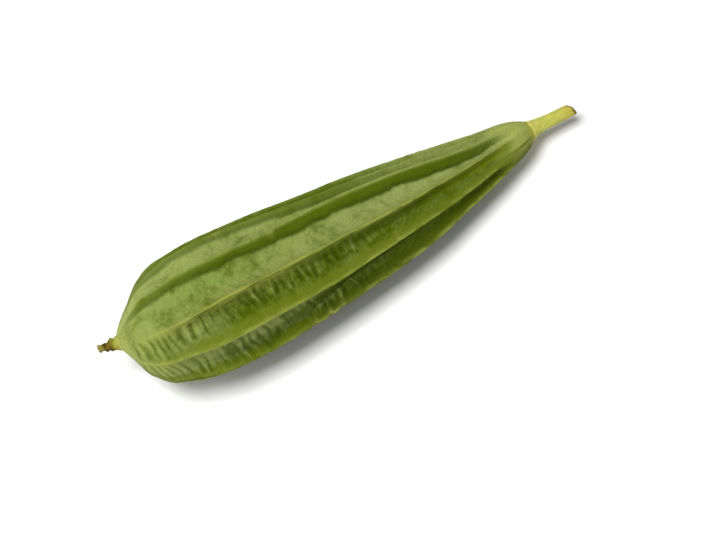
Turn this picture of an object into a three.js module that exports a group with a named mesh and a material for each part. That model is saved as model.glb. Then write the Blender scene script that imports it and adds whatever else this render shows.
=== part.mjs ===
// Angled luffa (ridge gourd) lying on a flat surface, as picked.
// Millimetres, +Z up. The surface is z = 0, +X runs towards the stem, and the blossom end is at -X.

import * as THREE from "three";

// ---- Driving dimensions -------------------------------------------------------------------

const bodyLength = 228; // blossom seat to stem seat, along the axis
const widestRadius = 33; // over the ridges
const stemLength = 24.4;
const stemRadius = 3.4; // half way along
const remnantLength = 9.8; // withered flower at the blossom end
const seatGap = 0.3; // between the fruit and the pieces at its two ends

const ridgeCount = 10;
const ridgeStep = 360 / ridgeCount;
const firstRidge = 18; // degrees from straight up, so that two ridges straddle straight down
const grooveDepth = [0.15, 0.25]; // as a share of the local radius, at the broad and the thin part
const deepening = [0.4, 0.85]; // shares of the length between which it changes
const cusp = [4, 2.6]; // how sharply the crests stand up out of the grooves, at the same two parts
const ridgeRise = [3, 32]; // the ridges grow out of the blossom end between these places
const ridgeFade = [192, 221]; // and sink into the smooth neck between these
const twist = 6; // degrees by which all ridges wind from end to end
// Ridges that lean over on their way to the stem: by how many degrees, and the share of the
// length where they begin to, which is before the blossom end for three of them.
const leaningRidges = { 6: [10, -0.3], 7: [24, -0.3], 8: [22, -0.3], 9: [7, 0.45] };

const droop = THREE.MathUtils.degToRad(5); // the thin end lies lower than the broad one
const restPress = 0.35; // how far the lowest crests are pressed in by its weight
const tipBend = 0.2; // share of the bow's tilt that the very end of the fruit takes up
const tipReach = 20; // from here on the fruit is square to its centre line

const columnsPerRidge = 6;
const columnCrowding = 1.5; // gathers the columns of faces beside the crests
const rowsPerSpan = 5; // rows of faces between two points of the outline

// ---- Shaping ------------------------------------------------------------------------------

// A solid of revolution along +X. Outline points are [place along the axis, radius].
function turned(outline, rowsPer, columns) {
  const curve = new THREE.SplineCurve(outline.map(([x, r]) => new THREE.Vector2(r, x)));
  const rows = curve.getPoints((outline.length - 1) * rowsPer);
  const first = new THREE.Vector2(0, rows[0].y);
  const last = new THREE.Vector2(0, rows[rows.length - 1].y);
  const solid = new THREE.LatheGeometry([first, ...rows, last], columns);
  return solid.rotateZ(-Math.PI / 2); // the lathe turns about Y
}

// Moves every vertex of a turned solid. The change function gets the place along the axis, the
// radius and the bearing, in degrees from straight up towards -Y, and gives them back changed.
function reshape(solid, change) {
  const points = solid.getAttribute("position");
  for (let i = 0; i < points.count; i++) {
    const [x, y, z] = [points.getX(i), points.getY(i), points.getZ(i)];
    const bearing = THREE.MathUtils.radToDeg(Math.atan2(-y, z));
    const made = change(x, Math.hypot(y, z), (bearing + 360) % 360);
    const turn = THREE.MathUtils.degToRad(made.bearing);
    points.setXYZ(i, made.x, -made.radius * Math.sin(turn), made.radius * Math.cos(turn));
  }
  return solid;
}

// The bowed centre line: place along the axis, then how far it lies to the side and up.
const centreLine = [
  [-seatGap - remnantLength, 2.9, -3.7],
  [0, 0.7, -3],
  [10, -4.2, 0.9],
  [34, -5.4, 0.8],
  [bodyLength * 0.5, -7, 1.6],
  [bodyLength * 0.8, -4.8, 1.2],
  [bodyLength, -0.8, 0],
  [bodyLength + seatGap + stemLength, -1.1, 0],
];
const centre = new THREE.CubicInterpolant(
  centreLine.map(([x]) => x),
  centreLine.flatMap(([, side, up]) => [side, up]),
  2,
);

function centreAt(x) {
  const [side, up] = centre.evaluate(x);
  return { side, up };
}

// Bends a solid to the centre line, square to it but for the blossom end, and tips it over.
function bend(solid) {
  const points = solid.getAttribute("position");
  for (let i = 0; i < points.count; i++) {
    const [x, y, z] = [points.getX(i), points.getY(i), points.getZ(i)];
    const [here, before, after] = [centreAt(x), centreAt(x - 1), centreAt(x + 1)];
    const sideSlope = (after.side - before.side) / 2;
    const upSlope = (after.up - before.up) / 2;
    const square = THREE.MathUtils.lerp(tipBend, 1, THREE.MathUtils.smoothstep(x, 0, tipReach));
    points.setXYZ(i, x - square * (y * sideSlope + z * upSlope), y + here.side, z + here.up);
  }
  return solid.rotateY(droop);
}

// ---- The fruit ----------------------------------------------------------------------------

const bodyOutline = [
  [0, 3.9],
  [3.5, 10.1],
  [8, 17.2],
  [14, 24.2],
  [22, 27.9],
  [34, 31.7],
  [58, widestRadius],
  [102, 29.6],
  [145, 24.7],
  [183, 17.3],
  [204, 12.8],
  [214.5, 10.7],
  [221, 8.8],
  [225.5, 6.7],
  [bodyLength, 5.1],
];

// How far a ridge leans over at a place along the fruit, in degrees.
function leanOf(ridge, x) {
  const [most, start] = leaningRidges[ridge % ridgeCount] ?? [0, 0];
  const along = x / bodyLength;
  return most * THREE.MathUtils.smoothstep(along, start, 1) + twist * (0.4 - along);
}

function ridged(x, radius, bearing) {
  const place = ((bearing - firstRidge + 360) % 360) / ridgeStep;
  const ridge = Math.floor(place);
  const across = (place - ridge) * 2 - 1; // -1 and 1 on the crests, 0 half way between them
  const fromCrest = (1 - Math.abs(across)) ** columnCrowding;
  const share = across < 0 ? fromCrest / 2 : 1 - fromCrest / 2;
  const turn = (1 - share) * leanOf(ridge, x) + share * (leanOf(ridge + 1, x) + ridgeStep);
  const thin = THREE.MathUtils.smoothstep(x / bodyLength, ...deepening);
  const sharpness = THREE.MathUtils.lerp(...cusp, thin);
  const depth = THREE.MathUtils.lerp(...grooveDepth, thin) * (1 - (1 - fromCrest) ** sharpness);
  const rise = THREE.MathUtils.smoothstep(x, ...ridgeRise);
  const fade = 1 - THREE.MathUtils.smoothstep(x, ...ridgeFade);
  return {
    x,
    radius: radius * (1 - depth * rise * fade),
    bearing: firstRidge + ridge * ridgeStep + turn,
  };
}

function makeBody() {
  const solid = turned(bodyOutline, rowsPerSpan, ridgeCount * columnsPerRidge);
  solid.rotateX(-THREE.MathUtils.degToRad(firstRidge)); // columns start on the first ridge
  return bend(reshape(solid, ridged));
}

// ---- The stem -----------------------------------------------------------------------------

const stemStart = bodyLength + seatGap;
const stemOutline = [
  [stemStart, 5.3],
  [stemStart + 2.4, 4.3],
  [stemStart + 6, 3.7],
  [stemStart + stemLength / 2, stemRadius],
  [stemStart + stemLength - 0.7, 3.2],
  [stemStart + stemLength, 2.8],
];
const stemCorners = 5;
const cornerRelief = 0.04; // how faintly the stem is five-cornered
const cutSlope = 0.45; // the knife went through at a slant

function makeStem() {
  const solid = turned(stemOutline, 3, 20);
  reshape(solid, (x, radius, bearing) => {
    const turn = THREE.MathUtils.degToRad(bearing);
    const along = (x - stemStart) / stemLength;
    const slant = THREE.MathUtils.smoothstep(along, 0.6, 1) * cutSlope;
    return {
      x: x + radius * Math.sin(turn) * slant,
      radius: radius * (1 + cornerRelief * Math.cos(stemCorners * turn)),
      bearing,
    };
  });
  return bend(solid);
}

// ---- The withered flower ------------------------------------------------------------------

const remnantOutline = [
  [-seatGap - remnantLength, 0.8],
  [-seatGap - remnantLength * 0.88, 1.6],
  [-seatGap - remnantLength * 0.6, 2],
  [-seatGap - remnantLength * 0.28, 2.9],
  [-seatGap, 3.7],
];
const lobes = 3;
const lobeRelief = 0.16;

function makeRemnant() {
  const solid = turned(remnantOutline, 3, 16);
  reshape(solid, (x, radius, bearing) => {
    const turn = THREE.MathUtils.degToRad(bearing);
    const along = THREE.MathUtils.clamp(-x / remnantLength, 0, 1);
    const lump = Math.cos(lobes * turn + 4 * along) * lobeRelief * along;
    return { x, radius: radius * (1 + lump), bearing };
  });
  return bend(solid);
}

// ---- The whole gourd ----------------------------------------------------------------------

const materials = {
  rind: new THREE.MeshStandardMaterial({ color: 0x7f9340, roughness: 0.6, metalness: 0 }),
  stem: new THREE.MeshStandardMaterial({ color: 0xc3bf5e, roughness: 0.65, metalness: 0 }),
  remnant: new THREE.MeshStandardMaterial({ color: 0x6b6529, roughness: 0.85, metalness: 0 }),
};

function piece(name, solid, material) {
  const mesh = new THREE.Mesh(solid, material);
  mesh.name = name;
  return mesh;
}

// Sets the solids down on z = 0, presses the lowest crests level with it and centres everything.
function setDown(solids) {
  const box = new THREE.Box3();
  for (const solid of solids) {
    solid.computeBoundingBox();
    box.union(solid.boundingBox);
  }
  const middle = box.getCenter(new THREE.Vector3());
  for (const solid of solids) {
    solid.translate(-middle.x, -middle.y, -box.min.z - restPress);
    const points = solid.getAttribute("position");
    for (let i = 0; i < points.count; i++) points.setZ(i, Math.max(points.getZ(i), 0));
  }
}

const body = makeBody();
const stem = makeStem();
const remnant = makeRemnant();
setDown([body, stem, remnant]);

const gourd = new THREE.Group();
gourd.add(piece("gourd_body", body, materials.rind));
gourd.add(piece("stem", stem, materials.stem));
gourd.add(piece("blossom_remnant", remnant, materials.remnant));

export default gourd;
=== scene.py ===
import math
from functools import lru_cache

import bmesh
import bpy
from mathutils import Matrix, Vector, noise


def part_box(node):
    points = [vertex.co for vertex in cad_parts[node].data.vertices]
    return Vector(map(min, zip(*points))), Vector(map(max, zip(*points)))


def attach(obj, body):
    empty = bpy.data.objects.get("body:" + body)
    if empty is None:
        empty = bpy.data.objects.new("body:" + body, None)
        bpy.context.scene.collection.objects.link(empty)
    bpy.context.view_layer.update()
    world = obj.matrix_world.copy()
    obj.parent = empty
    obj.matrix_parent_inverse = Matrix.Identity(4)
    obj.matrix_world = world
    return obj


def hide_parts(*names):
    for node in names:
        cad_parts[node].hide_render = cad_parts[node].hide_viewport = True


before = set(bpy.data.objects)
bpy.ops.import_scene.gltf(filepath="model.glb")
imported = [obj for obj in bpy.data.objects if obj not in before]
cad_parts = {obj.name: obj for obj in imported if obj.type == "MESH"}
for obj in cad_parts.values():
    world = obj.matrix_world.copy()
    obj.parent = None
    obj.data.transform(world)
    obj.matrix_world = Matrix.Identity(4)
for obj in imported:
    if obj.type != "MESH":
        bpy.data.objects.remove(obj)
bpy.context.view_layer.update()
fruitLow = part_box("gourd_body")[0]
mm = 0.001


def ease(value, start, end):  # 0 before the start, 1 after the end
    share = min(max((value - start) / (end - start), 0), 1)
    return share * share * (3 - 2 * share)


def between(value, start, end):  # rises over the first range and falls over the second
    return ease(value, *start) * (1 - ease(value, *end))


def hump(value, centre, width):  # 1 at the centre, fading to nothing on both sides
    return math.exp(-((value - centre) / width) ** 2)


def mixed(first, second, share):
    return first + (second - first) * share


def roughness(*place):  # smooth noise, about -0.5 to 0.5
    return noise.noise(Vector(place))


def screenColour(red, green, blue):  # 0 to 255 as seen on a screen
    linear = [((v / 255 + 0.055) / 1.055) ** 2.4 if v > 10 else v / 3295 for v in (red, green, blue)]
    return (*linear, 1)


def smoothOutline(points, spacing):  # a smooth curve, in steps as long as spacing(place) says
    fine = []
    ends = [points[0], *points, points[-1]]
    for a, b, c, d in zip(ends, ends[1:], ends[2:], ends[3:]):
        for step in range(200):
            t = step / 200
            fine.append(tuple(
                q + 0.5 * t * (r - p + t * (2 * p - 5 * q + 4 * r - s + t * (3 * (q - r) + s - p)))
                for p, q, r, s in zip(a, b, c, d)))
    made, since = [fine[0]], 0
    for before, after in zip(fine, fine[1:]):
        since += math.dist(before, after)
        if since >= spacing(after[0]):
            made.append(after)
            since = 0
    made.append(points[-1])
    return made


def spinOutline(outline, columns, firstTurn=0):  # (place along X, radius) pairs, spun about X
    bm = bmesh.new()
    outward = Vector((0, -math.sin(firstTurn), math.cos(firstTurn)))
    rail = [bm.verts.new(Vector((x, 0, 0)) + outward * radius) for x, radius in outline]
    edges = [bm.edges.new(pair) for pair in zip(rail, rail[1:])]
    bmesh.ops.spin(bm, geom=rail + edges, cent=(0, 0, 0), axis=(1, 0, 0), angle=math.tau,
                   steps=columns, use_merge=True)
    bmesh.ops.remove_doubles(bm, verts=bm.verts, dist=0.0005)
    bmesh.ops.recalc_face_normals(bm, faces=bm.faces)
    bm.verts.ensure_lookup_table()
    bm.verts.index_update()
    return bm


def finishPiece(bm, name, node, material, marks):
    bmesh.ops.scale(bm, vec=(mm, mm, mm), verts=bm.verts)
    for face in bm.faces:
        face.smooth = True
    mesh = bpy.data.meshes.new(name)
    bm.to_mesh(mesh)
    bm.free()
    for markName, values in marks.items():
        mesh.attributes.new(markName, "FLOAT", "POINT").data.foreach_set("value", values)
    mesh.materials.append(material)
    piece = bpy.data.objects.new(name, mesh)
    bpy.context.scene.collection.objects.link(piece)
    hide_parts(node)
    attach(piece, "root")
    print(name, len(mesh.polygons), "faces")


# how the gourd lies, in mm
lying = {
    "droop": math.radians(5),  # the stem end is lower
    "press": 0.35,  # how far the lowest crests are pressed in
    # place along the axis, then how far the bowed middle lies to the side and up
    "centreLine": [(-10.1, 2.9, -3.7), (0, 0.7, -3), (10, -4.2, 0.9), (34, -5.4, 0.8),
                   (114, -7, 1.6), (182.4, -4.8, 1.2), (228, -0.8, 0), (252.7, -1.1, 0)],
    "tipBend": 0.2,  # how little the blossom end turns square to the bow
    "tipReach": (0, 20),
}


@lru_cache(maxsize=None)
def centreAt(x):
    line = lying["centreLine"]
    x = min(max(x, line[0][0]), line[-1][0])
    i = next(n for n in range(1, len(line)) if x <= line[n][0])
    start, end = line[i - 1], line[i]
    before = line[i - 2] if i > 1 else end
    after = line[i + 1] if i + 1 < len(line) else start
    span = end[0] - start[0]
    t = (x - start[0]) / span
    leadIn, leadOut = span / 2 / (start[0] - before[0]), span / 2 / (after[0] - end[0])
    weights = (
        -leadIn * t * (1 - t) ** 2,
        1 + t * (leadIn - 0.5 + t * (-1.5 - 2 * leadIn + t * (1 + leadIn))),
        t * (0.5 + t * (1.5 + leadOut - t * (1 + leadOut))),
        -leadOut * t * t * (1 - t),
    )
    return tuple(sum(w * p[axis] for w, p in zip(weights, (before, start, end, after)))
                 for axis in (1, 2))


def bend(point):  # from the straight fruit to the bowed and drooping one
    x, y, z = point
    place = round(x, 3)
    side, up = centreAt(place)
    sideBefore, upBefore = centreAt(round(place - 1, 3))
    sideAfter, upAfter = centreAt(round(place + 1, 3))
    square = mixed(lying["tipBend"], 1, ease(place, *lying["tipReach"]))
    x -= square * (y * (sideAfter - sideBefore) / 2 + z * (upAfter - upBefore) / 2)
    y += side
    z += up
    cos, sin = math.cos(lying["droop"]), math.sin(lying["droop"])
    return Vector((x * cos + z * sin, y, z * cos - x * sin))


def addNode(tree, kind, x, y, **settings):
    node = tree.nodes.new("ShaderNode" + kind)
    node.location = (x, y)
    for name, value in settings.items():
        setattr(node, name, value)
    return node


def plug(tree, value, socket):  # a link from another node, or a plain value
    if isinstance(value, bpy.types.NodeSocket):
        tree.links.new(value, socket)
    else:
        socket.default_value = value


def startMaterial(name):
    material = bpy.data.materials.new(name)
    material.use_nodes = True
    shader = material.node_tree.nodes["Principled BSDF"]
    shader.location = (1100, 0)
    material.node_tree.nodes["Material Output"].location = (1400, 0)
    return material, material.node_tree, shader


def startGroup(name, inputs, output):
    group = bpy.data.node_groups.new(name, "ShaderNodeTree")
    for label, kind, value in inputs:
        socket = group.interface.new_socket(label, in_out="INPUT", socket_type="NodeSocket" + kind)
        if value is not None:
            socket.default_value = value
    group.interface.new_socket(output, in_out="OUTPUT", socket_type="NodeSocketFloat")
    given, wanted = group.nodes.new("NodeGroupInput"), group.nodes.new("NodeGroupOutput")
    given.location, wanted.location = (-900, 0), (700, 0)
    return group, given.outputs, wanted.inputs[output]


def tint(tree, x, y, below, above, share, blend="MIX"):  # lays one colour over another
    mix = addNode(tree, "Mix", x, y, data_type="RGBA", blend_type=blend)
    for value, place in ((share, 0), (below, 6), (above, 7)):
        plug(tree, value, mix.inputs[place])
    return mix.outputs[2]


def spread(tree, x, y, value, low, high, newLow=0.0, newHigh=1.0):
    node = addNode(tree, "MapRange", x, y, interpolation_type="SMOOTHSTEP")
    for name, given in (("Value", value), ("From Min", low), ("From Max", high),
                        ("To Min", newLow), ("To Max", newHigh)):
        plug(tree, given, node.inputs[name])
    return node.outputs["Result"]


def sums(tree, x, y, operation, first, second):
    node = addNode(tree, "Math", x, y, operation=operation)
    plug(tree, first, node.inputs[0])
    plug(tree, second, node.inputs[1])
    return node.outputs[0]


def makeClouding():  # soft blotches that any plant skin has
    group, given, cloud = startGroup("clouding", [
        ("Place", "Vector", None), ("Scale", "Float", 100.0), ("Low", "Float", 0.35),
        ("High", "Float", 0.65)], "Cloud")
    blotch = addNode(group, "TexNoise", -600, 100)
    blotch.inputs["Detail"].default_value = 5
    blotch.inputs["Roughness"].default_value = 0.6
    blotch.inputs["Distortion"].default_value = 0.4
    plug(group, given["Place"], blotch.inputs["Vector"])
    plug(group, given["Scale"], blotch.inputs["Scale"])
    plug(group, spread(group, -100, 100, blotch.outputs["Fac"], given["Low"], given["High"]), cloud)
    return group


def makeFlecks():  # scattered small specks
    group, given, fleck = startGroup("flecks", [
        ("Place", "Vector", None), ("Scale", "Float", 300.0), ("Size", "Float", 0.2)], "Fleck")
    cells = addNode(group, "TexVoronoi", -600, 100)
    rare = addNode(group, "TexNoise", -600, -200)
    rare.inputs["Detail"].default_value = 2
    plug(group, given["Place"], cells.inputs["Vector"])
    plug(group, given["Scale"], cells.inputs["Scale"])
    plug(group, given["Place"], rare.inputs["Vector"])
    plug(group, sums(group, -750, -200, "MULTIPLY", given["Scale"], 0.35), rare.inputs["Scale"])
    smaller = sums(group, -500, 300, "MULTIPLY", given["Size"], 0.6)
    dot = spread(group, -300, 100, cells.outputs["Distance"], given["Size"], smaller)
    some = spread(group, -300, -200, rare.outputs["Fac"], 0.5, 0.6)
    plug(group, sums(group, 0, 0, "MULTIPLY", dot, some), fleck)
    return group


clouding = makeClouding()
flecks = makeFlecks()


def objectPlace(tree, x, y, scale=(1, 1, 1)):
    place = addNode(tree, "TexCoord", x, y)
    turned = addNode(tree, "Mapping", x + 180, y)
    turned.inputs["Scale"].default_value = scale
    plug(tree, place.outputs["Object"], turned.inputs["Vector"])
    return turned.outputs["Vector"]


def useGroup(tree, x, y, group, place, **settings):
    node = addNode(tree, "Group", x, y, node_tree=group)
    plug(tree, place, node.inputs["Place"])
    for name, value in settings.items():
        node.inputs[name].default_value = value
    return node.outputs[0]


def mark(tree, x, y, name):
    return addNode(tree, "Attribute", x, y, attribute_name=name).outputs["Fac"]


def addBumps(tree, shader, height, strength, distance):
    bumps = addNode(tree, "Bump", 800, -400)
    bumps.inputs["Strength"].default_value = strength
    bumps.inputs["Distance"].default_value = distance
    plug(tree, height, bumps.inputs["Height"])
    plug(tree, bumps.outputs["Normal"], shader.inputs["Normal"])


# the fruit, in mm; bearings run from straight up towards -Y, and ridge 0 is the first past the
# top. A band is the skin below a ridge, down to the next one, and has the number of its ridge.
# Five values in brackets stand at even places from the blossom end to the stem.
fruit = {
    "length": 228,
    "outline": [(0, 3.9), (3.5, 10.1), (8, 17.2), (14, 24.2), (22, 27.9), (34, 31.7), (58, 33),
                (102, 29.6), (145, 24.7), (183, 17.3), (204, 12.8), (214.5, 10.7), (221, 8.8),
                (225.5, 6.7), (228, 5.1)],
    "endRings": (2.2, 2.5),  # radius of one more ring on each end face
    "rowSpacing": (0.47, 0.78),  # where the skin is rippled, and beyond
    "coarser": (110, 150),  # where the one gives way to the other
    "columns": 24,  # to each ridge
    "crowding": 1.5,  # gathers them at the crests

    "ridges": 10,
    "firstRidge": math.radians(18),
    "grooveDepth": (0.15, 0.25),  # of the local radius, at the broad and the thin part
    "cusp": (4, 2.6),  # how sharply the crests stand up, at the same two parts
    "deepening": (0.4, 0.85),  # shares of the length between which these two change
    "rise": (3, 32),  # where the ridges grow out of the blossom end
    "fade": (192, 221),  # and where they sink into the neck
    "twist": 6,  # degrees from end to end
    # ridges that lean over on their way to the stem: degrees, and the share of the length where
    # they begin to, which is before the blossom end for three of them
    "leaning": {6: (10, -0.3), 7: (24, -0.3), 8: (22, -0.3), 9: (7, 0.45)},
    # where the crests wander: degrees, place along the fruit and half length
    "sway": {0: [(2.4, 20, 18), (1.4, 150, 40)],
             1: [(2.2, 8, 12), (-2.8, 65, 25), (-3.3, 140, 35)],
             9: [(-8, 10, 22), (2, 76, 13), (-6, 128, 42), (-2.8, 170, 30)]},
    "crestRound": 0.35,  # radius of their blunt edge
    "crestUneven": {2: 0.5, 3: 0.4},
    "otherUneven": 0.15,  # of the other crests
    "swell": 0.5,  # slow unevenness of the whole skin
    "swellEnds": ((2, 14), (214, 226)),
    # nicks in the crests: ridge, place along the fruit, half length, depth
    "nicks": [(9, 80, 1.6, 0.7), (2, 92, 1.3, 1), (2, 99, 1.2, 0.8), (2, 84, 1, 0.7),
              (0, 36, 1.2, 0.5), (5, 120, 1.6, 0.8), (3, 60, 1.4, 0.9), (1, 134, 1.2, 0.5)],
    # corky rubs on the crests: ridge, place along the fruit, half length, strength
    "scars": [(0, 54, 6, 0.7), (0, 22, 5, 0.5), (0, 84, 3, 0.4), (9, 80, 2, 0.4), (1, 120, 3, 0.5),
              (1, 62, 3, 0.4), (5, 84, 9, 0.7), (3, 44, 4, 0.6), (6, 150, 5, 0.6), (8, 60, 3, 0.4),
              (2, 96, 4, 0.5)],

    "rippleHeight": 0.3,
    "rippleSpacing": (2.2, 4.1),  # of the close ones at the blossom end, and of the others
    "closeRipples": 18,  # how far the close ones go
    "wildRipples": (14, 30),  # where they lose their beat
    "beat": (0.62, 0.4),  # how much of a beat there is, before and after that
    "bars": 1.4,  # height of the irregular ones
    "rippleEnds": ((0, 5), (90, 150)),
    # the ripples of each band: strength, slant, and how far down they reach
    "rippled": {0: (1, -0.15, 0.8), 1: (1, -0.3, 1.15), 2: (0.7, -0.3, 0.8), 3: (0.6, 0.2, 0.7),
                4: (0.8, 0, 0.7), 5: (0.6, 0.3, 0.7), 6: (0.7, -0.2, 0.7), 7: (0.3, 0, 0.6),
                8: (0.1, 0.4, 0.6), 9: (0.12, 0.6, 0.9)},

    # pale bloom on each band, a darker green below 0; the low and negative values on the lower bands are
    # painted shade
    "bloomAndShade": {0: (0.6, 0.22, 0.22, 0.15, 0.3), 1: (1, 0.85, 0.1, 0.1, 0.15),
                2: (0.45, 0.2, -0.2, -0.3, 0), 3: (0.7, 0.3, 0.1, 0.1, 0.3),
                4: (0.7, 0.5, 0.3, 0.3, 0.4), 5: (0.8, 0.6, 0.4, 0.5, 0.5),
                6: (0.8, 0.6, 0.5, 0.6, 0.6), 7: (0.5, 0.2, 0.2, 0.6, 0.8),
                8: (0.8, 0.65, 0.6, 0.75, 1), 9: (0.5, 0.5, 0.6, 0.8, 0.9)},
    "paintedLowShade": {1: (0.7, 0.8, 0.9, 0.4, 0)},  # painted shade: how much of the bloom is taken off low down on a band
    "lowShadeFrom": (0.62, 0.92),  # shares of the band's width
    # where a band is a fresher green: band, place along the fruit, half length, strength
    "lush": [(9, 44, 26, 1), (0, 62, 16, 0.6), (7, 90, 60, 0.6)],
    "lushTo": (0.5, 0.85),  # and no lower on the band

    "paleCrests": {0: (0.4, 1, 1, 1, 1), 1: (1, 0.6, 0.6, 0.6, 0.6), 2: (0.3, 0.5, 0.8, 1, 1),
                   7: (0.3, 0.3, 0.3, 0.3, 0.3), 8: (0, 0, 0.1, 0.3, 0.3),
                   9: (0, 0.6, 0.6, 0.6, 0.6)},
    "otherCrest": (1, 1, 1, 1, 1),
    "crestEnds": ((4, 14), (200, 218)),
    "crestReach": 0.95,  # how far the pale crest reaches to each side
    "wideCrests": {0: (2.8, 3.4, 1.3, 0.95, 0.95), 1: (3, 3, 1.3, 0.95, 0.95)},  # on their own band
    # the dark face below each ridge, a darker green that is partly the skin's own and partly painted
    # shade: its strength, how far down it starts and its width
    "flankStrength": {0: (0, 0.1, 0.55, 0.5, 0.8), 1: (0, 0.55, 1, 0.65, 0.95),
                      2: (0.7, 0.9, 0.9, 0.9, 0.6), 7: (0.2, 0.4, 0.5, 0.25, 0.2),
                      8: (0.6, 0.7, 0.75, 0.1, 0), 9: (0.7, 0.92, 0.97, 0.97, 0.8)},
    "flankStart": {1: (8, 9, 0.3, 0.3, 0.3), 8: (-1, -1, -0.5, 0.3, 0.3)},
    "flankWidth": {0: (1.5, 2.3, 6, 5.6, 3), 1: (6, 22, 5.5, 4.4, 3), 2: (3, 3, 4, 4, 3),
                   7: (1.5, 1.8, 2, 2, 2), 8: (1.3, 1.5, 2, 2, 2), 9: (3.9, 4.5, 6.8, 6.6, 2.4)},
    # the same three of the other ridges
    "otherFlank": ((0.3, 0.8, 0.9, 0.9, 0.5), (0.3, 0.3, 0.3, 0.3, 0.3), (2, 2.4, 2.8, 3, 2)),
    "flankEnds": ((2, 13), (198, 218)),
    "flanksWithPaintedLight": {0: 0.6, 1: 1},  # painted light: a brighter green on two of them, close to the stem
    "paintedLightFrom": (140, 190),
    # the olive face above the next ridge down, partly the skin's own olive and partly painted shade:
    # strength and width
    "shouldered": {0: (0.9, 6), 1: (0.4, 6), 2: (0.8, 5), 3: (0.7, 4), 4: (0.7, 4), 5: (0.6, 3),
                   6: (0.6, 3), 7: (0.5, 3), 8: (0.3, 2), 9: (0.25, 2)},
    "shoulderedFrom": (6, 26),
    "neckFrom": (200, 217),
    "greenerNeck": math.radians(105),  # bearing of the side where the pale neck is greener
    "collarFrom": (223.5, 228),

    "bloom": screenColour(147, 157, 90),
    "skin": screenColour(88, 102, 12),
    # dark skin, also the painted shade where the bloom value is below 0
    "darkSkinAndShade": screenColour(56, 70, 2),
    "flank": screenColour(75, 92, 3),
    "flankFootShade": screenColour(46, 60, 0),  # its lower edge, painted shade in the crease
    # painted light on the dark faces close to the stem
    "paintedLightGreen": screenColour(146, 164, 10),
    # the olive face above a ridge, partly painted shade
    "shoulder": screenColour(92, 104, 22),
    "crest": screenColour(138, 148, 62),
    "neck": screenColour(164, 174, 90),
    "collar": screenColour(172, 170, 70),
    "scar": screenColour(158, 152, 82),
    "speck": screenColour(160, 170, 104),
    # what these leave of the colour below them
    "lushTint": (0.88, 0.99, 0.84, 1),
    # painted shade in the ripple furrows
    "furrowShadeTint": (0.44, 0.5, 0.28, 1),
    "streakTint": (0.66, 0.7, 0.44, 1),
    "grainTint": (0.7, 0.74, 0.6, 1),
    # how strongly each of these shows
    "shows": {"mottling": 0.4, "patches": 0.3, "streaks": 0.5, "paintedFurrowShade": 0.8, "topHighlights": 0.6,
              "neck": 0.8, "grain": 0.5, "specks": 0.12, "cork": 0.3},
    "roughness": (0.55, 0.75),
}
ridgeStep = 360 / fruit["ridges"]


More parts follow.
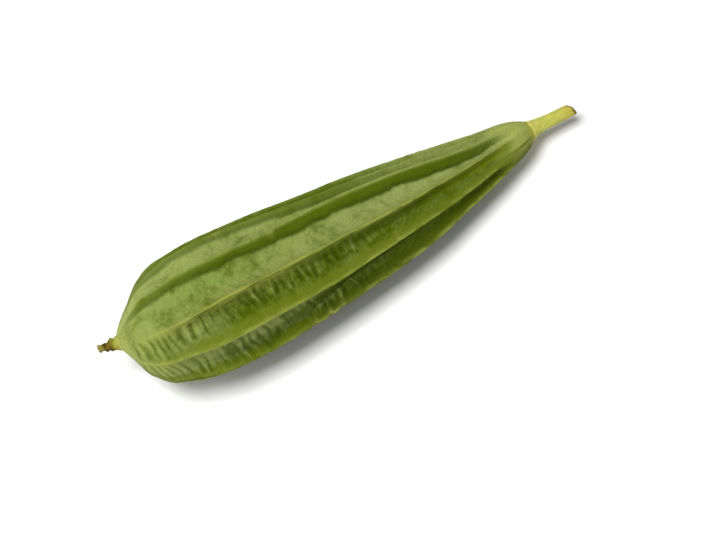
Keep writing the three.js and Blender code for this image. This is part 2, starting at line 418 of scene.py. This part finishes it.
def makeRindMaterial():
    material, tree, shader = startMaterial("ridgedRind")
    shows = fruit["shows"]
    place = objectPlace(tree, -2100, 0)
    alongPlace = objectPlace(tree, -2100, -300, (0.3, 1, 1))
    acrossPlace = objectPlace(tree, -2100, -600, (1, 0.13, 0.13))
    wide = useGroup(tree, -1700, 500, clouding, place, Scale=80.0, Low=0.34, High=0.66)
    middle = useGroup(tree, -1700, 300, clouding, place, Scale=240.0, Low=0.34, High=0.66)
    fine = useGroup(tree, -1700, 100, clouding, place, Scale=700.0, Low=0.3, High=0.7)
    along = useGroup(tree, -1700, -100, clouding, alongPlace, Scale=300.0, Low=0.34, High=0.66)
    across = useGroup(tree, -1700, -300, clouding, acrossPlace, Scale=820.0, Low=0.36, High=0.6)
    corky = useGroup(tree, -1700, -500, flecks, place, Scale=420.0, Size=0.3)
    pale = useGroup(tree, -1700, -700, flecks, place, Scale=330.0, Size=0.26)
    bloom, lush, flank, shadedFoot, paintedLightGreen, shoulder, crest, relief, streaks, scar, neck, collar = (
        mark(tree, -1700, -850 - 150 * i, name) for i, name in enumerate((
            "bloom", "lush", "flank", "shadedFoot", "paintedLightGreen", "shoulder", "crest", "relief", "streaks",
            "scar", "neck", "collar")))

    # bare green skin, mottled darker, with painted shade where the bloom value is below 0, dusted with
    # bloom, and fresher in places
    mottled = tint(tree, -1300, 500, fruit["skin"], fruit["darkSkinAndShade"], sums(
        tree, -1450, 500, "MULTIPLY", middle, shows["mottling"]))
    shadedSkin = tint(tree, -1150, 500, mottled, fruit["darkSkinAndShade"],
                    spread(tree, -1300, 300, bloom, 0, -0.6))
    patchy = sums(tree, -1450, 200, "MULTIPLY", wide, sums(tree, -1600, 200, "ADD", middle, 0.35))
    dusting = sums(tree, -1150, 200, "SUBTRACT", bloom, sums(
        tree, -1300, 100, "MULTIPLY", patchy, shows["patches"]))
    dusted = tint(tree, -1000, 500, shadedSkin, fruit["bloom"],
                  spread(tree, -1000, 200, dusting, -0.1, 0.85))
    freshness = sums(tree, -1075, 700, "MULTIPLY", lush, spread(tree, -1225, 700, wide, 0, 1, 1, 0.5))
    fresher = tint(tree, -925, 700, dusted, fruit["lushTint"], freshness, "MULTIPLY")

    # cross ripples: fine streaks, painted shade in the furrows and painted highlight on the tops
    streaking = sums(tree, -1000, -100, "MULTIPLY", across, sums(
        tree, -1150, -100, "MULTIPLY", streaks, shows["streaks"]))
    streaked = tint(tree, -850, 500, fresher, fruit["streakTint"], streaking, "MULTIPLY")
    furrow = spread(tree, -1000, -300, relief, 0.55, 0.15, 0, shows["paintedFurrowShade"])
    shadedFurrows = tint(tree, -700, 500, streaked, fruit["furrowShadeTint"], furrow, "MULTIPLY")
    top = spread(tree, -700, -300, relief, 0.6, 1, 0, shows["topHighlights"])
    highlightedTops = tint(tree, -550, 500, shadedFurrows, fruit["bloom"], top)

    # the smooth neck, then the grain and specks of the whole skin
    necked = tint(tree, -400, 500, highlightedTops, fruit["neck"], sums(
        tree, -550, 100, "MULTIPLY", neck, shows["neck"]))
    grainy = tint(tree, -250, 500, necked, fruit["grainTint"], sums(
        tree, -400, 0, "MULTIPLY", fine, shows["grain"]), "MULTIPLY")
    specked = tint(tree, -100, 500, grainy, fruit["speck"], sums(
        tree, -250, 0, "MULTIPLY", pale, shows["specks"]))

    # the two faces of each ridge and its crest; the dark face below a ridge is partly painted shade and
    # its darker foot is painted shade, the olive face above the next ridge is partly painted shade, and
    # the brighter green near the stem is painted light
    shoulderShare = sums(tree, -250, -300, "MULTIPLY", shoulder,
                         spread(tree, -400, -300, middle, 0, 1, 1, 0.7))
    shouldered = tint(tree, 50, 500, specked, fruit["shoulder"], shoulderShare)
    footShare = sums(tree, -250, 200, "MULTIPLY", shadedFoot, spread(tree, -400, -500, along, 0, 1, 0.75, 1))
    footed = tint(tree, -100, 300, fruit["flank"], fruit["flankFootShade"], footShare)
    flankColour = tint(tree, 50, 200, footed, fruit["paintedLightGreen"], paintedLightGreen)
    flanked = tint(tree, 200, 500, shouldered, flankColour, flank)
    crestShare = sums(tree, 50, -300, "MULTIPLY", crest,
                      spread(tree, -100, -500, along, 0.1, 0.9, 0.25, 1.1))
    crested = tint(tree, 350, 500, flanked, fruit["crest"], crestShare)
    corkShare = sums(tree, 350, -500, "MULTIPLY", sums(
        tree, 200, -500, "MULTIPLY", corky, crest), shows["cork"])
    corked = tint(tree, 500, 500, crested, fruit["scar"], corkShare)
    collared = tint(tree, 650, 500, corked, fruit["collar"], collar)
    plug(tree, tint(tree, 800, 500, collared, fruit["scar"], scar), shader.inputs["Base Color"])

    low, high = fruit["roughness"]
    plug(tree, spread(tree, 700, -100, fine, 0, 1, low, high), shader.inputs["Roughness"])
    shader.inputs["Specular IOR Level"].default_value = 0.03
    height = sums(tree, 500, -500, "ADD", fine, sums(tree, 350, -600, "MULTIPLY", across, streaks))
    addBumps(tree, shader, height, 0.35, 0.0004)
    return material


def leanOf(ridge, x):  # how far a ridge leans over at a place along the fruit, in degrees
    along = x / fruit["length"]
    ridge %= fruit["ridges"]
    most, start = fruit["leaning"].get(ridge, (0, 0))
    swayed = sum(angle * hump(x, place, half) for angle, place, half in fruit["sway"].get(ridge, []))
    return most * ease(along, start, 1) + swayed + fruit["twist"] * (0.4 - along)


def alongFruit(values, x):  # between values given at evenly spaced places from end to end
    place = min(max(x / fruit["length"], 0), 0.9999) * (len(values) - 1)
    station = int(place)
    return mixed(values[station], values[station + 1], ease(place - station, 0, 1))


def rippleAt(ridge, x, below, share):  # how high a cross ripple stands, and how strong they are here
    strength, slant, reach = fruit["rippled"][ridge]
    place = x + slant * below + 1.6 * roughness(x / 9, below / 9, ridge * 3.7)
    close, apart = fruit["rippleSpacing"]
    closeTo = fruit["closeRipples"]
    beats = place / close if place < closeTo else closeTo / close + (place - closeTo) / apart
    wild = ease(x, *fruit["wildRipples"])
    bars = roughness(place / 2, below / 16, ridge * 7.3) + 0.4 * roughness(place / 0.9, below / 8, ridge)
    wave = mixed(*fruit["beat"], wild) * math.sin(math.tau * beats) + fruit["bars"] * wild * bars
    broken = mixed(1, 0.95 + 0.9 * roughness(x / 10, below / 8, ridge * 5.1), wild)
    reach = mixed(1.1, reach, wild)
    within = ease(share, 0.05, 0.13) * (1 - ease(share, 0.6 * reach, reach))
    envelope = strength * within * between(x, *fruit["rippleEnds"])
    return wave * envelope * max(broken, 0.35), envelope


def nickAt(ridge, x, near):
    return max([0, *(depth * hump(x, centre, half) * hump(near, 0, 2)
                     for nickRidge, centre, half, depth in fruit["nicks"] if nickRidge == ridge)])


def scarAt(ridge, x, near, nick):
    scar = 0.35 * nick
    for scarRidge, centre, half, strength in fruit["scars"]:
        if scarRidge == ridge:
            along = hump(x, centre, half) * (0.5 + 0.9 * roughness(x / 1.7, near, ridge))
            scar = max(scar, strength * along * hump(near, 0, 1))
    return min(max(scar, 0), 1)


def lushAt(ridge, x):
    return max([0, *(strength * hump(x, centre, half)
                     for lushRidge, centre, half, strength in fruit["lush"] if lushRidge == ridge)])


def flankAt(ridge, x, below, band):  # strength and width of the dark face below a ridge, which is partly painted shade
    flank, start, wide = (
        alongFruit(fruit[name].get(ridge, other), x)
        for name, other in zip(("flankStrength", "flankStart", "flankWidth"), fruit["otherFlank"]))
    wide = min(wide, 0.9 * band)
    wide *= 1 + 0.3 * roughness(x / 11, ridge * 3.1, 4) + 0.1 * roughness(x / 2.4, ridge * 5.3, 7)
    flank *= ease(below, start, start + 0.7 + 0.3 * max(start, 0))
    flank *= 1 - ease(below, 0.8 * wide, 0.95 * wide + 1.3)
    return flank * between(x, *fruit["flankEnds"]), wide


def fruitSurface(x, radius, column):  # the bearing and radius of a point of the rind, and its marks
    ridge, step = divmod(column, fruit["columns"])
    t = step / fruit["columns"]
    crowded = 0.5 * (2 * min(t, 1 - t)) ** fruit["crowding"]
    share = crowded if t < 0.5 else 1 - crowded  # of the way from this ridge to the next
    lean, nextLean = leanOf(ridge, x), leanOf(ridge + 1, x)
    bearing = fruit["firstRidge"] + math.radians(
        ridge * ridgeStep + mixed(lean, nextLean + ridgeStep, share))
    risen = between(x, fruit["rise"], fruit["fade"])
    thin = ease(x / fruit["length"], *fruit["deepening"])

    band = max(radius * math.radians(ridgeStep + nextLean - lean), 0.1)  # its width
    below, above = share * band, (1 - share) * band  # to the crest over it and the one under it
    near = min(below, above)
    crestRidge = (ridge if below < above else ridge + 1) % fruit["ridges"]
    blunt = fruit["crestRound"]
    fromCrest = min(2 * blunt * (math.hypot(near / blunt, 1) - 1) / band, 1)
    groove = 1 - (1 - fromCrest) ** mixed(*fruit["cusp"], thin)
    plain = radius * (1 - mixed(*fruit["grooveDepth"], thin) * risen * groove)

    # ripples, uneven and nicked crests, and slow swellings everywhere
    ripple, streaks = rippleAt(ridge, x, below, share)
    rough = roughness(x / 2.6, crestRidge * 9.1, 0) + 0.5 * roughness(x / 6, crestRidge * 4.3, 9)
    uneven = fruit["crestUneven"].get(crestRidge, fruit["otherUneven"]) * hump(near, 0, 1.1) * risen
    swell = roughness(x / 21, 2 * math.sin(bearing), 2 * math.cos(bearing)) * fruit["swell"]
    swell *= between(x, *fruit["swellEnds"])
    nick = nickAt(crestRidge, x, near)
    out = fruit["rippleHeight"] * ripple + uneven * rough + swell - nick

    # the bloom value also carries painted shade: low or below 0 on the lower bands
    bloom = alongFruit(fruit["bloomAndShade"][ridge], x)
    # painted shade low down on the band
    if ridge in fruit["paintedLowShade"]:
        bloom -= alongFruit(fruit["paintedLowShade"][ridge], x) * ease(share, *fruit["lowShadeFrom"])
    paleness = alongFruit(fruit["paleCrests"].get(crestRidge, fruit["otherCrest"]), x)
    crestReach = fruit["crestReach"]
    if below < above and ridge in fruit["wideCrests"]:
        crestReach = alongFruit(fruit["wideCrests"][ridge], x)
    flank, flankWide = flankAt(ridge, x, below, band)
    shoulder, shoulderWide = fruit["shouldered"][ridge]
    shoulderWide *= min(band / 20, 1)
    greener = 0.75 * ease(math.cos(bearing - fruit["greenerNeck"]), 0.55, 0.95)
    tip = 0.2 * (1 - ease(x, 2, 18)) + 0.5 * (1 - ease(x, 0, 8))  # the blossom end is as pale
    marks = {
        "crest": paleness * hump(near, 0, crestReach) * between(x, *fruit["crestEnds"]),
        "flank": flank,
        # painted shade along the foot of the dark face
        "shadedFoot": ease(below, 0.25 * flankWide, 0.9 * flankWide),
        # painted light on two dark faces close to the stem
        "paintedLightGreen": ease(x, *fruit["paintedLightFrom"]) * fruit["flanksWithPaintedLight"].get(ridge, 0),
        "shoulder": shoulder * ease(x, *fruit["shoulderedFrom"]) * (
            1 - ease(above, 0.5 * shoulderWide, shoulderWide)),
        "bloom": bloom,
        "relief": 0.5 + 0.5 * ripple,
        "streaks": 0.15 + 0.85 * streaks,
        "scar": scarAt(crestRidge, x, near, nick),
        "lush": lushAt(ridge, x) * (1 - ease(share, *fruit["lushTo"])),
        "neck": ease(x, *fruit["neckFrom"]) * (1 - greener) + tip,
        "collar": ease(x + 1.2 * math.sin(bearing), *fruit["collarFrom"]),
    }
    return bearing, plain, out, marks


def makeFruit():
    close, coarse = fruit["rowSpacing"]
    outline = smoothOutline(
        fruit["outline"], lambda x: mixed(close, coarse, ease(x, *fruit["coarser"])))
    length, (startRing, endRing) = fruit["length"], fruit["endRings"]
    outline = [(0, 0), (0, startRing), *outline, (length, endRing), (length, 0)]
    allColumns = fruit["ridges"] * fruit["columns"]
    bm = spinOutline(outline, allColumns, fruit["firstRidge"])
    plainPoints, points, marks = [], [], {}
    for vert in bm.verts:
        x, y, z = vert.co
        radius = math.hypot(y, z)
        turn = math.atan2(-y, z) - fruit["firstRidge"]
        column = round(turn / math.tau * allColumns) % allColumns
        bearing, plain, out, made = fruitSurface(x, radius, column)
        if radius < 0.01:
            plain = out = 0
        sin, cos = math.sin(bearing), math.cos(bearing)
        plainPoints.append(bend((x, -plain * sin, plain * cos)))
        shown = plain + out * min(radius / 5, 1)
        points.append(bend((x, -shown * sin, shown * cos)))
        for name, value in made.items():
            marks.setdefault(name, []).append(value)
    low = Vector(min(p[axis] for p in plainPoints) for axis in range(3))
    shift = Vector((fruitLow.x / mm - low.x, fruitLow.y / mm - low.y, -low.z - lying["press"]))
    for vert, point in zip(bm.verts, points):
        vert.co = point + shift
        vert.co.z = max(vert.co.z, 0)
    finishPiece(bm, "ridgedFruit", "gourd_body", makeRindMaterial(), marks)
    return shift


lyingShift = makeFruit()


# the cut stalk, in mm
stem = {
    "seat": 228.3,
    "length": 24.4,
    "outline": [(227, 5.0), (228.3, 5.25), (230.7, 4.3), (234.3, 3.7), (240.5, 3.4), (252.0, 3.2),
                (252.6, 3.0)],
    "cutRings": [(252.8, 2.6), (252.5, 2.1), (252.3, 1.3), (252.25, 0)],
    "rowSpacing": 0.4,
    "columns": 60,
    "corners": 5,
    "cornerRelief": 0.04,
    "cutSlope": 0.45,  # the knife went through at a slant
    "baseTo": (228.5, 233),  # where its tan base turns green
    "endFrom": (243, 251),  # where it dries towards the cut
    "cutFrom": (252.1, 252.5),
    "rimAt": (252.4, 0.6),  # place and half width of the brown edge of the cut
    "green": screenColour(186, 190, 87),
    "shade": screenColour(170, 172, 68),
    "tan": screenColour(214, 204, 108),
    "endTan": screenColour(184, 170, 66),
    "cut": screenColour(136, 128, 60),
    "rim": screenColour(92, 80, 24),
}


def makeStemMaterial():
    material, tree, shader = startMaterial("freshStalk")
    longPlace = objectPlace(tree, -1300, 0, (0.12, 1, 1))
    place = objectPlace(tree, -1300, -300)
    streaks = useGroup(tree, -900, 200, clouding, longPlace, Scale=900.0, Low=0.35, High=0.65)
    clouds = useGroup(tree, -900, 0, clouding, place, Scale=180.0, Low=0.4, High=0.62)
    fleck = useGroup(tree, -900, -200, flecks, place, Scale=500.0, Size=0.25)
    base, cut, rim, end = (mark(tree, -900, -400 - 150 * i, name)
                           for i, name in enumerate(("base", "cut", "rim", "end")))
    green = tint(tree, -600, 200, stem["green"], stem["shade"], sums(
        tree, -750, 200, "MULTIPLY", streaks, 0.7))
    tanned = tint(tree, -450, 200, green, stem["tan"], sums(tree, -600, -100, "MULTIPLY", clouds, 0.4))
    based = tint(tree, -300, 200, tanned, stem["tan"], base)
    ended = tint(tree, -150, 200, based, stem["endTan"], end)
    flecked = tint(tree, 0, 200, ended, stem["rim"], sums(tree, -150, -200, "MULTIPLY", fleck, 0.35))
    cutFace = tint(tree, 200, 200, flecked, stem["cut"], cut)
    plug(tree, tint(tree, 400, 200, cutFace, stem["rim"], rim), shader.inputs["Base Color"])
    plug(tree, spread(tree, 500, -100, streaks, 0, 1, 0.5, 0.68), shader.inputs["Roughness"])
    shader.inputs["Specular IOR Level"].default_value = 0.15
    addBumps(tree, shader, streaks, 0.4, 0.0003)
    return material


def makeStem():
    outline = smoothOutline(stem["outline"], lambda x: stem["rowSpacing"])
    outline = [(outline[0][0], 0), *outline, *stem["cutRings"]]
    bm = spinOutline(outline, stem["columns"])
    marks = {"base": [], "cut": [], "rim": [], "end": []}
    for vert in bm.verts:
        x, y, z = vert.co
        radius = math.hypot(y, z)
        bearing = math.atan2(-y, z)
        sin, cos = math.sin(bearing), math.cos(bearing)
        along = (x - stem["seat"]) / stem["length"]
        paintedFurrowShade = 0.07 * roughness(x / 14, 3 * sin, 3 * cos)
        corners = stem["cornerRelief"] * math.cos(stem["corners"] * bearing) * ease(along, 0.02, 0.2)
        lumps = 0.06 * roughness(x / 3, sin, cos) * (1 - ease(along, 0.05, 0.4))
        wide = radius * (1 + paintedFurrowShade + corners + lumps)
        slant = ease(along, 0.6, 1) * stem["cutSlope"]
        frayed = 0.25 * roughness(4 * sin, 4 * cos, 0) * ease(along, 0.97, 1)
        vert.co = bend((x + wide * sin * slant + frayed, -wide * sin, wide * cos)) + lyingShift
        marks["base"].append((1 - ease(x, *stem["baseTo"])) * (0.55 + 0.5 * roughness(x, bearing, 2)))
        marks["cut"].append(ease(x, *stem["cutFrom"]) if radius > 1.5 else float(x > 250))
        marks["rim"].append(hump(x, *stem["rimAt"]) * (0.3 + 0.6 * ease(sin, -0.2, 0.8)))
        marks["end"].append(0.8 * ease(x, *stem["endFrom"]))
    finishPiece(bm, "cutStem", "stem", makeStemMaterial(), marks)


makeStem()


# the withered flower at the other end, in mm
blossom = {
    "length": 9.8,
    "outline": [(-10.1, 0.8), (-9.6, 1.4), (-8, 1.6), (-6, 1.8), (-4.1, 2.4), (-2.3, 2.8),
                (-0.6, 3.7), (0.6, 3.8)],
    "rowSpacing": 0.2,
    "columns": 56,
    "lobes": 3,
    "lobeRelief": 0.16,
    "creases": 0.2,
    "freshFrom": (-5.4, 0),  # where its dry part turns green
    "tipTo": (-9.5, -7),  # where the straw-coloured tip ends
    # shrivelled tips pulled out of the nub: place, bearing in degrees, height, width
    "tips": [(-3.3, -30, 1.6, 0.8), (-4.0, 150, 1.3, 0.9), (-6.4, 110, 0.9, 0.7), (-7.6, 20, 0.6, 0.8),
             (-6.0, 230, 0.8, 0.9), (-9.2, -60, 0.6, 0.5), (-9.3, 140, 0.7, 0.6)],
    "green": screenColour(160, 164, 88),
    "olive": screenColour(146, 145, 50),
    "brown": screenColour(108, 94, 26),
    "dark": screenColour(58, 48, 12),
    "straw": screenColour(178, 168, 98),
}


def makeBlossomMaterial():
    material, tree, shader = startMaterial("witheredBlossom")
    place = objectPlace(tree, -1300, 0)
    clouds = useGroup(tree, -900, 200, clouding, place, Scale=420.0, Low=0.4, High=0.6)
    fine = useGroup(tree, -900, 0, clouding, place, Scale=1500.0, Low=0.35, High=0.65)
    fleck = useGroup(tree, -900, -200, flecks, place, Scale=900.0, Size=0.35)
    fresh, tip = mark(tree, -900, -400, "fresh"), mark(tree, -900, -550, "tip")
    brown = tint(tree, -600, 200, blossom["brown"], blossom["dark"], clouds)
    olive = tint(tree, -450, 200, brown, blossom["olive"], spread(tree, -600, -200, fresh, 0, 0.5))
    green = tint(tree, -300, 200, olive, blossom["green"], spread(tree, -450, -300, fresh, 0.4, 1))
    dried = tint(tree, -150, 200, green, blossom["straw"], sums(tree, -300, -400, "MULTIPLY", tip, fine))
    flecked = tint(tree, 0, 200, dried, blossom["dark"], sums(tree, -150, -200, "MULTIPLY", fleck, 0.6))
    plug(tree, flecked, shader.inputs["Base Color"])
    plug(tree, spread(tree, 300, -100, fine, 0, 1, 0.75, 0.95), shader.inputs["Roughness"])
    shader.inputs["Specular IOR Level"].default_value = 0.1
    addBumps(tree, shader, fine, 0.6, 0.0004)
    return material


def makeBlossom():
    outline = smoothOutline(blossom["outline"], lambda x: blossom["rowSpacing"])
    outline = [(outline[0][0], 0), *outline, (outline[-1][0], 0)]
    bm = spinOutline(outline, blossom["columns"])
    marks = {"fresh": [], "tip": []}
    for vert in bm.verts:
        x, y, z = vert.co
        radius = math.hypot(y, z)
        bearing = math.atan2(-y, z)
        sin, cos = math.sin(bearing), math.cos(bearing)
        along = min(max(-x / blossom["length"], 0), 1)
        lobes = math.cos(blossom["lobes"] * bearing + 4 * along) * blossom["lobeRelief"] * along
        creased = blossom["creases"] * roughness(x / 1.4, 2.4 * sin, 2.4 * cos) * ease(-x, 0.4, 2.5)
        wide = radius * (1 + lobes + creased)
        if radius > 0.3:
            for place, turn, height, width in blossom["tips"]:
                apart = (bearing - math.radians(turn) + math.pi) % math.tau - math.pi
                wide += height * hump(x, place, width) * hump(apart * 3, 0, 1.3)
        vert.co = bend((x, -wide * sin, wide * cos)) + lyingShift
        marks["fresh"].append(ease(x, *blossom["freshFrom"]) * (0.85 + 0.5 * roughness(x, sin, cos)))
        straw = 0.8 * (1 - ease(x, *blossom["tipTo"])) + 0.7 * hump(wide, radius * 1.6, 0.4)
        marks["tip"].append(straw)
    finishPiece(bm, "driedBlossom", "blossom_remnant", makeBlossomMaterial(), marks)


makeBlossom()


# floor, light and camera, in metres
studio = {
    "floor": screenColour(240, 240, 240),
    "floorReach": 4,
    "keyPlace": (-0.42, 0.03, 1.3),
    "keySize": 0.5,
    "keyPower": 21,
    "fillPlace": (-1.3, -0.2, 0.8),
    "fillSize": 1.0,
    "fillPower": 5,
    "lightsAt": Vector((0, 0, 0.02)),
    "sky": 0.26,
    "lookAt": Vector((-0.0067, -0.0146, 0.0234)),
    "distance": 0.9,
    "azimuth": math.radians(-31.4),
    "elevation": math.radians(68),
    "lens": 95.7,
}


def aim(thing, target):
    thing.rotation_euler = (target - thing.location).to_track_quat("-Z", "Y").to_euler()


def makeStudio():
    bm = bmesh.new()
    bmesh.ops.create_grid(bm, x_segments=2, y_segments=2, size=studio["floorReach"])
    mesh = bpy.data.meshes.new("paleFloor")
    bm.to_mesh(mesh)
    bm.free()
    floor = bpy.data.objects.new("paleFloor", mesh)
    material, _, shader = startMaterial("paleFloor")
    shader.inputs["Base Color"].default_value = studio["floor"]
    shader.inputs["Roughness"].default_value = 0.85
    mesh.materials.append(material)
    bpy.context.scene.collection.objects.link(floor)
    for name in ("key", "fill"):
        lamp = bpy.data.lights.new(name, "AREA")
        lamp.size = studio[name + "Size"]
        lamp.energy = studio[name + "Power"]
        light = bpy.data.objects.new(name, lamp)
        light.location = studio[name + "Place"]
        aim(light, studio["lightsAt"])
        bpy.context.scene.collection.objects.link(light)
    world = bpy.data.worlds.new("studioSky")
    world.use_nodes = True
    background = world.node_tree.nodes["Background"]
    background.inputs["Strength"].default_value = studio["sky"]
    background.inputs["Color"].default_value = (1, 1, 1, 1)
    bpy.context.scene.world = world
    bpy.context.scene.view_settings.view_transform = "Standard"


def makeCamera():
    lens = bpy.data.cameras.new("camera")
    lens.lens = studio["lens"]
    camera = bpy.data.objects.new("camera", lens)
    around, up = studio["azimuth"], studio["elevation"]
    back = Vector((math.sin(around) * math.cos(up), -math.cos(around) * math.cos(up), math.sin(up)))
    camera.location = studio["lookAt"] + back * studio["distance"]
    aim(camera, studio["lookAt"])
    bpy.context.scene.collection.objects.link(camera)
    bpy.context.scene.camera = camera


makeStudio()
makeCamera()
print("studio made")
